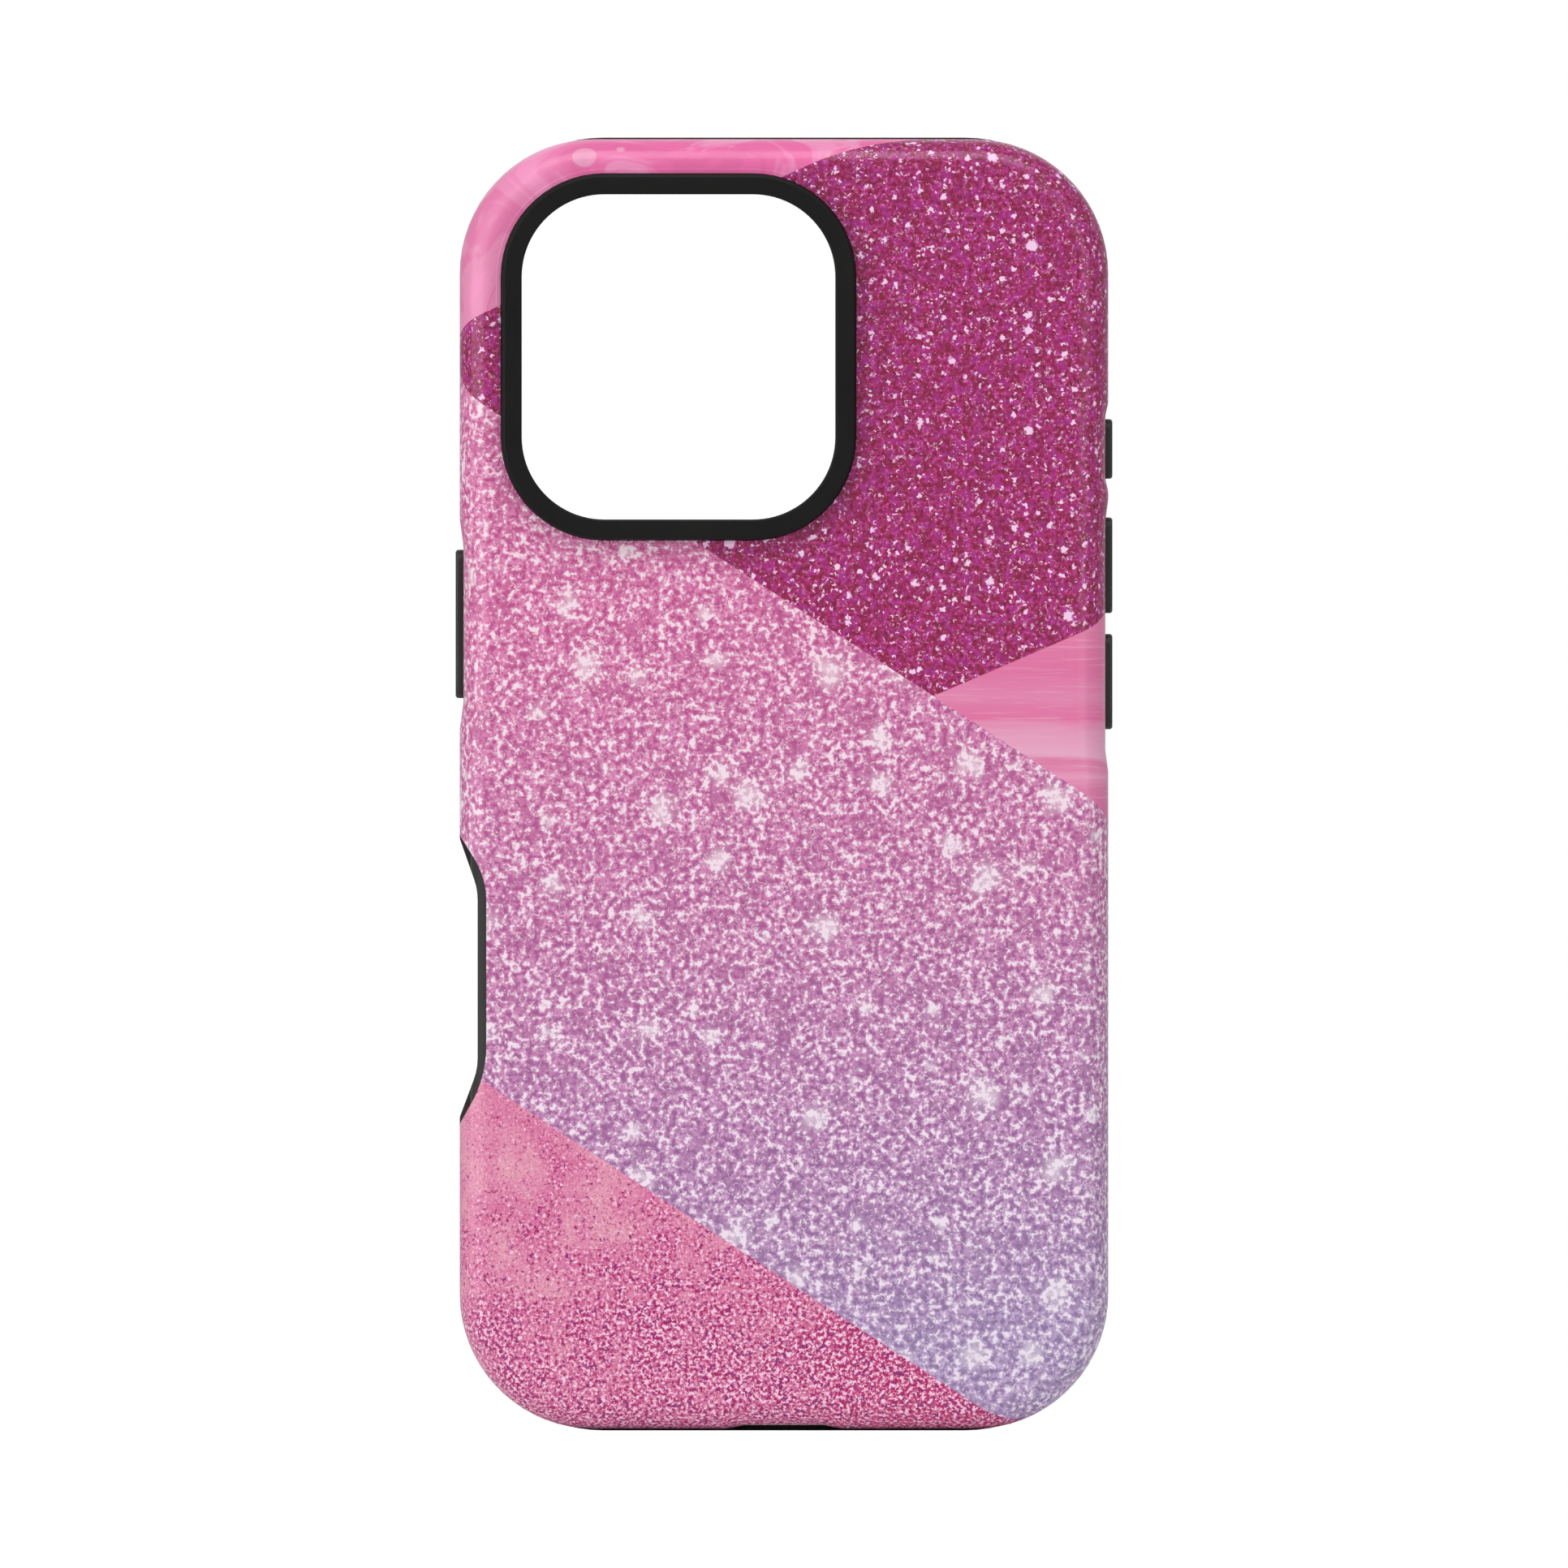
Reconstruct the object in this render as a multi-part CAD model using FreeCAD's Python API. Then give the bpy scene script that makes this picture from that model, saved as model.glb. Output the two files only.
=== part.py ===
import FreeCAD, Part

import math
import os

from FreeCAD import Placement, Rotation, Vector

# Two-layer phone case: a hard outer shell snapped over a soft liner that holds the phone.
# Frame: X across the case, Y through its depth with the phone's screen at +Y and the back
# of the case at -Y, Z up towards the phone's top. The origin is the middle of the seat
# that the phone's back rests on. All sizes are in millimetres.

# The phone that the case is made for
PHONE_WIDTH = 71.5
PHONE_HEIGHT = 149.6
PHONE_DEPTH = 8.25
PHONE_CLEARANCE = 0.15
CAVITY_CORNER_RADIUS = 12.9

# The case's outline, seen from the back
CASE_WIDTH = 78.2
CASE_HEIGHT = 155.9
CASE_CORNER_RADIUS = 16.2
END_STEP = 0.2

# Layers, from the seat at y = 0 towards the back
LINER_BACK = 1.4
LAYER_GAP = 0.1
SHELL_WALL = 1.2
BACK_EDGE_RADIUS = 3.5
CUT_EDGE_RADIUS = 0.15
SEAT_GROOVE_DEPTH = 0.2
SEAT_GROOVE_WIDTH = 2.5
CAVITY_EDGE_RADIUS = 0.8

# The rim round the screen
LIP_CLEARANCE = 0.1
LIP_DEPTH = 1.25
LIP_REACH = 1.2
RIM_DEPTH = 1.6
RIM_OUTER_RADIUS = 0.5
RIM_INNER_RADIUS = 0.5
RIM_CORNER_RADIUS = 17.3

# Camera opening and the ring round it
CAMERA_X = -12.72
CAMERA_Z = 51.5
RING_WIDTH = 42.7
RING_HEIGHT = 44.1
RING_CORNER_RADIUS = 12.4
RING_BAND = 2.45
RING_PROUD = 2.0
RING_CLEARANCE = 0.1
RING_OUTER_EDGE_RADIUS = 0.5
RING_INNER_EDGE_RADIUS = 0.3
RING_FLANGE_REACH = 0.65
RING_FLANGE_DEPTH = 0.7
LINER_HOLE_STEP = 0.2
WINDOW_BORDER_WIDTH = 0.45
WINDOW_BORDER_PROUD = 0.1

# Buttons: (name, side of the case, top z, bottom z)
BUTTONS = (
    ("side_button", -1, 28.25, 10.35),
    ("action_button", 1, 44.0, 36.8),
    ("volume_up", 1, 32.15, 20.6),
    ("volume_down", 1, 18.1, 6.6),
)
BUTTON_Y = 4.1
BUTTON_FACE_X = 39.6
BUTTON_WIDTH = 3.2
BUTTON_CORNER_RADIUS = 1.4
BUTTON_EDGE_RADIUS = 0.35
BUTTON_BLOCK_BACK_X = 37.5
BUTTON_CLEARANCE = 0.15
NECK_SHORTER = 2.0
NECK_WIDTH = 1.8
NECK_INNER_X = 36.65
FOOT_INNER_X = 36.25
FOOT_REACH = 0.3
WEB_INNER_X = 36.75
WEB_OUTER_X = 37.05
WEB_HOLE_CLEARANCE = 0.1
WEB_LONGER = 1.6
WEB_WIDTH = 4.8

# Notches in the shell round the buttons, open to the front; each holds one or more buttons
NOTCH_MARGIN = 0.95
NOTCH_BUTTONS = (
    ("side_button",),
    ("action_button",),
    ("volume_up", "volume_down"),
)
NOTCH_CORNER_RADIUS = 1.4
ISLAND_CLEARANCE = 0.1
ISLAND_SUNK = 0.05
ISLAND_ROOT = 1.0

# Shallow dishes that let a thumb reach the buttons: (side, bottom z, top z, depth, run)
DISHES = (
    (-1, 6.5, 31.9, 0.45, 3.4),
    (1, 1.5, 34.2, 0.35, 2.6),
    (1, 35.3, 45.9, 0.35, 1.5),
)
DISH_RADIUS = 3.0

# Relief under the charging port, in the shell's bottom edge
PORT_RELIEF_WIDTH = 14.2
PORT_RELIEF_DEPTH = 0.45
PORT_RELIEF_RUN = 2.25

# Scoop for the camera control, on the left: where the liner and the shell are cut back
LINER_SCOOP_TOP_Z = -6.6
LINER_SCOOP_BOTTOM_Z = -40.15
LINER_SCOOP_DEPTH = 2.15
LINER_SCOOP_TOP_RUN = 6.1
LINER_SCOOP_BOTTOM_RUN = 5.75
LINER_SCOOP_RADIUS = 7.5
SHELL_SCOOP_TOP_Z = -6.2
SHELL_SCOOP_BOTTOM_Z = -41.0
SHELL_SCOOP_DEPTH = 3.2
SHELL_SCOOP_TOP_RUN = 5.1
SHELL_SCOOP_BOTTOM_RUN = 5.7
SHELL_SCOOP_TOP_RADIUS = 9.5
SHELL_SCOOP_BOTTOM_RADIUS = 14.0
SCOOP_EDGE_RADIUS = 1.2
CONTROL_WINDOW_LENGTH = 19.0
CONTROL_WINDOW_WIDTH = 4.4
CONTROL_WINDOW_Z = -23.4

# Bottom openings
PORT_Y = 4.1
SHELL_PORT_LENGTH = 12.6
SHELL_PORT_WIDTH = 6.2
LINER_PORT_STEP = 0.3
SPEAKER_X = 15.6
SPEAKER_SLOT_LENGTH = 9.0
SPEAKER_SLOT_WIDTH = 2.4
SPEAKER_HOLES = 5
SPEAKER_HOLE_PITCH = 1.8
SPEAKER_HOLE_RADIUS = 0.7

# Shock grooves in the liner's inner corners
GROOVES_PER_CORNER = 6
GROOVE_FIRST_ANGLE = 15.0
GROOVE_LAST_ANGLE = 75.0
GROOVE_WIDTH = 1.0
GROOVE_DEPTH = 0.5
GROOVE_LOW_Y = 1.2
GROOVE_HIGH_Y = 7.0

# Magnets in the liner's back
MAGNET_Z = -2.0
POCKET_OUTER_RADIUS = 28.3
POCKET_INNER_RADIUS = 21.7
POCKET_DEPTH = 1.1
FILM_DEPTH = 0.1
INSERT_CLEARANCE = 0.1
CARRIER_FLOOR = 0.2
MAGNET_OUTER_RADIUS = 27.0
MAGNET_INNER_RADIUS = 23.0
MAGNET_CLEARANCE = 0.05
MAGNET_COUNT = 36
MAGNET_GAP_DEGREES = 0.8
BAR_WIDTH = 5.0
BAR_HEIGHT = 14.6
BAR_BELOW_RING = 5.5
BAR_CORNER_RADIUS = 0.8

# Sizes that follow from the ones above
HALF_WIDTH = CASE_WIDTH / 2
RIM_HALF_HEIGHT = CASE_HEIGHT / 2
SHELL_HALF_HEIGHT = RIM_HALF_HEIGHT - END_STEP
SHELL_INNER_HALF_WIDTH = HALF_WIDTH - SHELL_WALL
SHELL_INNER_HALF_HEIGHT = SHELL_HALF_HEIGHT - SHELL_WALL
LINER_HALF_WIDTH = SHELL_INNER_HALF_WIDTH - LAYER_GAP
LINER_HALF_HEIGHT = SHELL_INNER_HALF_HEIGHT - LAYER_GAP
CAVITY_HALF_WIDTH = PHONE_WIDTH / 2 + PHONE_CLEARANCE
CAVITY_HALF_HEIGHT = PHONE_HEIGHT / 2 + PHONE_CLEARANCE
LINER_BACK_Y = -LINER_BACK
SHELL_INNER_Y = LINER_BACK_Y - LAYER_GAP
SHELL_BACK_Y = SHELL_INNER_Y - SHELL_WALL
RING_FACE_Y = SHELL_BACK_Y - RING_PROUD
LIP_BACK_Y = PHONE_DEPTH + LIP_CLEARANCE
RIM_FRONT_Y = LIP_BACK_Y + LIP_DEPTH
RIM_BACK_Y = RIM_FRONT_Y - RIM_DEPTH
SHELL_FRONT_Y = RIM_BACK_Y - LAYER_GAP

# How far cutters and joining solids pass the faces they cut or join
OVERRUN = 5.0
SHORT_OVERRUN = 1.0

# Distances below these count as zero, for flat faces and for the curves where faces meet.
# Pill ends stop short of a full half circle by the slack.
TOLERANCE = 1e-3
CURVE_TOLERANCE = 3e-3
PILL_SLACK = 0.01


def rounded_wire(corners, radii, y):
    """Closed wire in the plane y through corners (x, z), each rounded by its own radius."""
    count = len(corners)
    starts = []
    middles = []
    ends = []
    for index in range(count):
        corner = Vector(corners[index][0], y, corners[index][1])
        before = Vector(corners[index - 1][0], y, corners[index - 1][1])
        after = Vector(corners[(index + 1) % count][0], y, corners[(index + 1) % count][1])
        back = (before - corner).normalize()
        ahead = (after - corner).normalize()
        half_angle = back.getAngle(ahead) / 2
        radius = radii[index]
        tangent = radius / math.tan(half_angle)
        bisector = (back + ahead).normalize()
        starts.append(corner + back * tangent)
        middles.append(corner + bisector * (radius / math.sin(half_angle) - radius))
        ends.append(corner + ahead * tangent)
    edges = []
    for index in range(count):
        if radii[index] > 0:
            edges.append(Part.Arc(starts[index], middles[index], ends[index]).toShape())
        following = starts[(index + 1) % count]
        if ends[index].distanceToPoint(following) > TOLERANCE:
            edges.append(Part.LineSegment(ends[index], following).toShape())
    return Part.Wire(edges)


def prism(corners, radii, y_low, y_high):
    """Solid between two planes of constant y, with a rounded polygon for its outline."""
    face = Part.Face(rounded_wire(corners, radii, y_low))
    return face.extrude(Vector(0, y_high - y_low, 0))


def block_corners(half_x, half_z, centre_x, centre_z):
    """Corners of a rectangle, in order round it."""
    return [
        (centre_x - half_x, centre_z - half_z),
        (centre_x - half_x, centre_z + half_z),
        (centre_x + half_x, centre_z + half_z),
        (centre_x + half_x, centre_z - half_z),
    ]


def rounded_block(half_x, half_z, radius, y_low, y_high, centre_x=0.0, centre_z=0.0):
    """Prism whose outline is a rectangle with round corners."""
    corners = block_corners(half_x, half_z, centre_x, centre_z)
    return prism(corners, [radius] * 4, y_low, y_high)


def edges_at_y(shape, level):
    """Edges of a shape that lie in the plane y = level."""
    return [
        edge
        for edge in shape.Edges
        if all(abs(vertex.Y - level) < TOLERANCE for vertex in edge.Vertexes)
    ]


def edges_within(edges, half_x, half_z, centre_x=0.0, centre_z=0.0):
    """Those of the edges whose ends all lie inside a rectangle in X and Z."""
    return [
        edge
        for edge in edges
        if all(
            abs(vertex.X - centre_x) < half_x and abs(vertex.Z - centre_z) < half_z
            for vertex in edge.Vertexes
        )
    ]


def cut_edges(shape, skin, cutter):
    """Edges of a shape where a cutter came out through the skin of the solid it cut."""
    found = []
    for edge in shape.Edges:
        at_rim = all(abs(vertex.Y - SHELL_FRONT_Y) < TOLERANCE for vertex in edge.Vertexes)
        if edge.Degenerated or at_rim:
            continue
        first, last = edge.ParameterRange
        points = [edge.valueAt(first), edge.valueAt((first + last) / 2), edge.valueAt(last)]
        spots = [Part.Vertex(point) for point in points]
        near_cutter = all(spot.distToShape(cutter)[0] < CURVE_TOLERANCE for spot in spots)
        if near_cutter and all(spot.distToShape(skin)[0] < CURVE_TOLERANCE for spot in spots):
            found.append(edge)
    return found


def case_outline(half_height, corner_radius, port_relief):
    """Corners and radii of the case's outline, with the button dishes in its sides."""
    left = [(-HALF_WIDTH, -half_height)]
    left_radii = [corner_radius]
    right = [(HALF_WIDTH, half_height)]
    right_radii = [corner_radius]
    for side, low, high, depth, run in DISHES:
        floor = HALF_WIDTH - depth
        steps = [(HALF_WIDTH, low), (floor, low + run), (floor, high - run), (HALF_WIDTH, high)]
        if side < 0:
            left += [(-x, z) for x, z in steps]
            left_radii += [DISH_RADIUS] * len(steps)
        else:
            steps.reverse()
            right[1:1] = steps
            right_radii[1:1] = [DISH_RADIUS] * len(steps)
    left.append((-HALF_WIDTH, half_height))
    left_radii.append(corner_radius)
    right.append((HALF_WIDTH, -half_height))
    right_radii.append(corner_radius)
    corners = left + right
    radii = left_radii + right_radii
    if port_relief:
        half = PORT_RELIEF_WIDTH / 2
        flat = half - PORT_RELIEF_RUN
        floor = -half_height + PORT_RELIEF_DEPTH
        corners += [(half, -half_height), (flat, floor), (-flat, floor), (-half, -half_height)]
        radii += [DISH_RADIUS] * 4
    return corners, radii


def scoop_cutter(top_z, bottom_z, depth, top_run, bottom_run, top_radius, bottom_radius):
    """Cutter for the scoop in the left side, through the whole depth of the case."""
    floor = -HALF_WIDTH + depth
    outside = -HALF_WIDTH - OVERRUN
    corners = [
        (outside, top_z + OVERRUN),
        (-HALF_WIDTH, top_z + OVERRUN),
        (-HALF_WIDTH, top_z),
        (floor, top_z - top_run),
        (floor, bottom_z + bottom_run),
        (-HALF_WIDTH, bottom_z),
        (-HALF_WIDTH, bottom_z - OVERRUN),
        (outside, bottom_z - OVERRUN),
    ]
    edge = SCOOP_EDGE_RADIUS
    radii = [0, 0, edge, top_radius, bottom_radius, edge, 0, 0]
    return prism(corners, radii, SHELL_BACK_Y - OVERRUN, RIM_FRONT_Y + OVERRUN)


def side_block(side, x_inner, x_outer, top_z, bottom_z, width, radius, centre_y=BUTTON_Y):
    """Block through a side wall: rounded rectangle in Y and Z, straight along X."""
    half_length = (top_z - bottom_z) / 2
    block = rounded_block(width / 2, half_length, radius, x_inner, x_outer)
    turn = Rotation(Vector(0, 0, 1), -90)
    block.Placement = Placement(Vector(0, centre_y, (top_z + bottom_z) / 2), turn)
    if side < 0:
        block = block.mirror(Vector(0, 0, 0), Vector(1, 0, 0))
    return block


def bottom_pill(length, width, z_low, z_high, centre_x=0.0):
    """Pill-shaped cutter through the bottom wall."""
    pill = rounded_block(length / 2, width / 2, width / 2 - PILL_SLACK, z_low, z_high)
    turn = Rotation(Vector(1, 0, 0), -90)
    pill.Placement = Placement(Vector(centre_x, PORT_Y, 0), turn)
    return pill


def hollow_ring(outer, inner, y_low, y_high):
    """Flat ring about the magnets' centre, with its axis along Y."""
    centre = Vector(0, y_low, MAGNET_Z)
    along = Vector(0, 1, 0)
    disc = Part.makeCylinder(outer, y_high - y_low, centre, along)
    return disc.cut(Part.makeCylinder(inner, y_high - y_low, centre, along))


def bar_block(clearance, y_low, y_high):
    """Upright bar under the magnet ring, smaller than its pocket by the clearance all round."""
    top = MAGNET_Z - POCKET_OUTER_RADIUS - BAR_BELOW_RING
    return rounded_block(
        BAR_WIDTH / 2 - clearance,
        BAR_HEIGHT / 2 - clearance,
        BAR_CORNER_RADIUS - clearance,
        y_low,
        y_high,
        0.0,
        top - BAR_HEIGHT / 2,
    )


def camera_block(step, y_low, y_high):
    """Prism about the camera's centre, larger than the ring's outline by a step all round."""
    return rounded_block(
        RING_WIDTH / 2 + step,
        RING_HEIGHT / 2 + step,
        RING_CORNER_RADIUS + step,
        y_low,
        y_high,
        CAMERA_X,
        CAMERA_Z,
    )


def button_spans():
    """For each notch, the side it is on and the highest and lowest z of its buttons."""
    spans = []
    for names in NOTCH_BUTTONS:
        held = [button for button in BUTTONS if button[0] in names]
        top_z = max(button[2] for button in held)
        bottom_z = min(button[3] for button in held)
        spans.append((held[0][1], top_z, bottom_z))
    return spans


def notch_block(side, top_z, bottom_z, margin, x_inner, x_outer):
    """Block that fills a notch round one or two buttons, from its closed end to the rim."""
    low_y = BUTTON_Y - BUTTON_WIDTH / 2 - margin
    high_y = RIM_FRONT_Y + OVERRUN
    width = high_y - low_y
    centre_y = (low_y + high_y) / 2
    top = top_z + margin
    bottom = bottom_z - margin
    return side_block(side, x_inner, x_outer, top, bottom, width, NOTCH_CORNER_RADIUS, centre_y)


def dish_depth(side, z):
    """How far the side of the case is dished in at a height."""
    for dish_side, low, high, depth, run in DISHES:
        if side == dish_side and low + run < z < high - run:
            return depth
    return 0.0


def window_border():
    """Low border round the shell's camera window, with sides sloped at 45 degrees."""
    wires = []
    for outward in (WINDOW_BORDER_PROUD, -SHELL_WALL / 2):
        step = RING_CLEARANCE + WINDOW_BORDER_WIDTH + WINDOW_BORDER_PROUD - outward
        corners = block_corners(RING_WIDTH / 2 + step, RING_HEIGHT / 2 + step, CAMERA_X, CAMERA_Z)
        radii = [RING_CORNER_RADIUS + step] * 4
        wires.append(rounded_wire(corners, radii, SHELL_BACK_Y - outward))
    return Part.makeLoft(wires, True, True)


def make_outer_shell():
    """Hard printed shell: back panel and side walls, open to the front."""
    corners, radii = case_outline(SHELL_HALF_HEIGHT, CASE_CORNER_RADIUS, True)
    outer = prism(corners, radii, SHELL_BACK_Y, SHELL_FRONT_Y)
    outer = outer.makeFillet(BACK_EDGE_RADIUS, edges_at_y(outer, SHELL_BACK_Y))
    inner_radius = CASE_CORNER_RADIUS - SHELL_WALL
    inner = rounded_block(
        SHELL_INNER_HALF_WIDTH,
        SHELL_INNER_HALF_HEIGHT,
        inner_radius,
        SHELL_INNER_Y,
        SHELL_FRONT_Y + OVERRUN,
    )
    inner = inner.makeFillet(BACK_EDGE_RADIUS - SHELL_WALL, edges_at_y(inner, SHELL_INNER_Y))
    shell = outer.cut(inner)

    shell = shell.fuse(window_border())
    shell = shell.cut(camera_block(RING_CLEARANCE, SHELL_BACK_Y - OVERRUN, 0.0))
    scoop = scoop_cutter(
        SHELL_SCOOP_TOP_Z,
        SHELL_SCOOP_BOTTOM_Z,
        SHELL_SCOOP_DEPTH,
        SHELL_SCOOP_TOP_RUN,
        SHELL_SCOOP_BOTTOM_RUN,
        SHELL_SCOOP_TOP_RADIUS,
        SHELL_SCOOP_BOTTOM_RADIUS,
    )
    shell = shell.cut(scoop)

    cutters = []
    for side, top_z, bottom_z in button_spans():
        inner_x = CAVITY_HALF_WIDTH
        outer_x = HALF_WIDTH + OVERRUN
        cutters.append(notch_block(side, top_z, bottom_z, NOTCH_MARGIN, inner_x, outer_x))
    low_z = SHELL_INNER_HALF_HEIGHT - SHORT_OVERRUN
    high_z = SHELL_HALF_HEIGHT + OVERRUN
    cutters.append(bottom_pill(SHELL_PORT_LENGTH, SHELL_PORT_WIDTH, low_z, high_z))
    for side in (-1, 1):
        slot_x = side * SPEAKER_X
        cutters.append(
            bottom_pill(SPEAKER_SLOT_LENGTH, SPEAKER_SLOT_WIDTH, low_z, high_z, slot_x)
        )
    for cutter in cutters:
        shell = shell.cut(cutter)
    shell = shell.removeSplitter()
    skin = outer.Shells[0]
    softened = []
    for cutter in cutters:
        softened += cut_edges(shell, skin, cutter.Shells[0])
    return shell.makeFillet(CUT_EDGE_RADIUS, softened)


def liner_openings():
    """Cutters for the ports, holes, windows and grooves in the liner."""
    low_z = CAVITY_HALF_HEIGHT - SHORT_OVERRUN
    high_z = RIM_HALF_HEIGHT + OVERRUN
    length = SHELL_PORT_LENGTH - 2 * LINER_PORT_STEP
    width = SHELL_PORT_WIDTH - 2 * LINER_PORT_STEP
    cutters = [bottom_pill(length, width, low_z, high_z)]
    for side in (-1, 1):
        for index in range(SPEAKER_HOLES):
            offset = (index - (SPEAKER_HOLES - 1) / 2) * SPEAKER_HOLE_PITCH
            start = Vector(side * SPEAKER_X + offset, PORT_Y, -high_z)
            along = Vector(0, 0, 1)
            cutters.append(
                Part.makeCylinder(SPEAKER_HOLE_RADIUS, high_z - low_z, start, along)
            )
    half_window = CONTROL_WINDOW_LENGTH / 2
    cutters.append(
        side_block(
            -1,
            CAVITY_HALF_WIDTH - SHORT_OVERRUN,
            HALF_WIDTH + SHORT_OVERRUN,
            CONTROL_WINDOW_Z + half_window,
            CONTROL_WINDOW_Z - half_window,
            CONTROL_WINDOW_WIDTH,
            CONTROL_WINDOW_WIDTH / 2 - PILL_SLACK,
        )
    )
    extra = WEB_LONGER / 2
    for button in BUTTONS:
        side, top_z, bottom_z = button[1:]
        cutters.append(
            side_block(
                side,
                CAVITY_HALF_WIDTH - SHORT_OVERRUN,
                WEB_OUTER_X,
                top_z + extra,
                bottom_z - extra,
                WEB_WIDTH,
                BUTTON_CORNER_RADIUS,
            )
        )
        cutters.append(
            side_block(
                side,
                CAVITY_HALF_WIDTH,
                HALF_WIDTH + SHORT_OVERRUN,
                top_z + BUTTON_CLEARANCE,
                bottom_z - BUTTON_CLEARANCE,
                BUTTON_WIDTH + 2 * BUTTON_CLEARANCE,
                BUTTON_CORNER_RADIUS + BUTTON_CLEARANCE,
            )
        )
    return cutters


def shock_grooves():
    """Cutters for the upright grooves in the inner corners, which cushion a drop."""
    cutters = []
    step = (GROOVE_LAST_ANGLE - GROOVE_FIRST_ANGLE) / (GROOVES_PER_CORNER - 1)
    centre_x = CAVITY_HALF_WIDTH - CAVITY_CORNER_RADIUS
    centre_z = CAVITY_HALF_HEIGHT - CAVITY_CORNER_RADIUS
    for quarter in range(4):
        sign_x = 1 if quarter in (0, 3) else -1
        sign_z = 1 if quarter in (0, 1) else -1
        for index in range(GROOVES_PER_CORNER):
            angle = quarter * 90 + GROOVE_FIRST_ANGLE + index * step
            reach = CAVITY_CORNER_RADIUS + GROOVE_DEPTH
            groove = Part.makeBox(
                reach,
                GROOVE_HIGH_Y - GROOVE_LOW_Y,
                GROOVE_WIDTH,
                Vector(0, 0, -GROOVE_WIDTH / 2),
            )
            turn = Rotation(Vector(0, 1, 0), -angle)
            place = Vector(sign_x * centre_x, GROOVE_LOW_Y, sign_z * centre_z)
            groove.Placement = Placement(place, turn)
            cutters.append(groove)
    return cutters


def make_inner_liner():
    """Soft liner: back, walls, rim and lip, with islands round the buttons."""
    liner = rounded_block(
        LINER_HALF_WIDTH,
        LINER_HALF_HEIGHT,
        CASE_CORNER_RADIUS - SHELL_WALL - LAYER_GAP,
        LINER_BACK_Y,
        RIM_BACK_Y + RIM_DEPTH / 2,
    )
    back_radius = BACK_EDGE_RADIUS - SHELL_WALL - LAYER_GAP
    liner = liner.makeFillet(back_radius, edges_at_y(liner, LINER_BACK_Y))
    corners, radii = case_outline(RIM_HALF_HEIGHT, RIM_CORNER_RADIUS, False)
    rim = prism(corners, radii, RIM_BACK_Y, RIM_FRONT_Y)
    rim = rim.makeFillet(RIM_OUTER_RADIUS, edges_at_y(rim, RIM_FRONT_Y))
    liner = liner.fuse(rim)
    keep = rounded_block(
        HALF_WIDTH,
        RIM_HALF_HEIGHT,
        CASE_CORNER_RADIUS,
        SHELL_INNER_Y,
        RIM_BACK_Y + RIM_DEPTH / 2,
    )
    for side, top_z, bottom_z in button_spans():
        depth = dish_depth(side, (top_z + bottom_z) / 2)
        island = notch_block(
            side,
            top_z,
            bottom_z,
            NOTCH_MARGIN - ISLAND_CLEARANCE,
            CAVITY_HALF_WIDTH + ISLAND_ROOT,
            HALF_WIDTH - depth - ISLAND_SUNK,
        )
        liner = liner.fuse(island.common(keep))

    cavity = rounded_block(
        CAVITY_HALF_WIDTH,
        CAVITY_HALF_HEIGHT,
        CAVITY_CORNER_RADIUS,
        -SEAT_GROOVE_DEPTH,
        LIP_BACK_Y,
    )
    cavity = cavity.makeFillet(CAVITY_EDGE_RADIUS, edges_at_y(cavity, -SEAT_GROOVE_DEPTH))
    mouth = rounded_block(
        CAVITY_HALF_WIDTH - LIP_REACH,
        CAVITY_HALF_HEIGHT - LIP_REACH,
        CAVITY_CORNER_RADIUS - LIP_REACH,
        0.0,
        RIM_FRONT_Y,
    )
    pad = rounded_block(
        CAVITY_HALF_WIDTH - SEAT_GROOVE_WIDTH,
        CAVITY_HALF_HEIGHT - SEAT_GROOVE_WIDTH,
        CAVITY_CORNER_RADIUS - SEAT_GROOVE_WIDTH,
        -LINER_BACK / 2,
        0.0,
    )
    liner = liner.cut(cavity.fuse(mouth)).fuse(pad)
    front_edges = edges_at_y(liner, RIM_FRONT_Y)
    mouth_edges = edges_within(front_edges, CAVITY_HALF_WIDTH, CAVITY_HALF_HEIGHT)
    liner = liner.makeFillet(RIM_INNER_RADIUS, mouth_edges)

    cutters = liner_openings() + shock_grooves()
    cutters.append(
        scoop_cutter(
            LINER_SCOOP_TOP_Z,
            LINER_SCOOP_BOTTOM_Z,
            LINER_SCOOP_DEPTH,
            LINER_SCOOP_TOP_RUN,
            LINER_SCOOP_BOTTOM_RUN,
            LINER_SCOOP_RADIUS,
            LINER_SCOOP_RADIUS,
        )
    )
    below_back = LINER_BACK_Y - SHORT_OVERRUN
    cutters.append(camera_block(-RING_BAND + LINER_HOLE_STEP, below_back, SHORT_OVERRUN))
    recess_step = RING_FLANGE_REACH + RING_CLEARANCE
    recess_floor = LINER_BACK_Y + RING_FLANGE_DEPTH
    cutters.append(camera_block(recess_step, below_back, recess_floor))
    pocket_floor = -POCKET_DEPTH
    cutters.append(
        hollow_ring(POCKET_OUTER_RADIUS, POCKET_INNER_RADIUS, pocket_floor, SHORT_OVERRUN)
    )
    cutters.append(bar_block(0.0, pocket_floor, SHORT_OVERRUN))
    for cutter in cutters:
        liner = liner.cut(cutter)
    return liner.removeSplitter()


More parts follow.
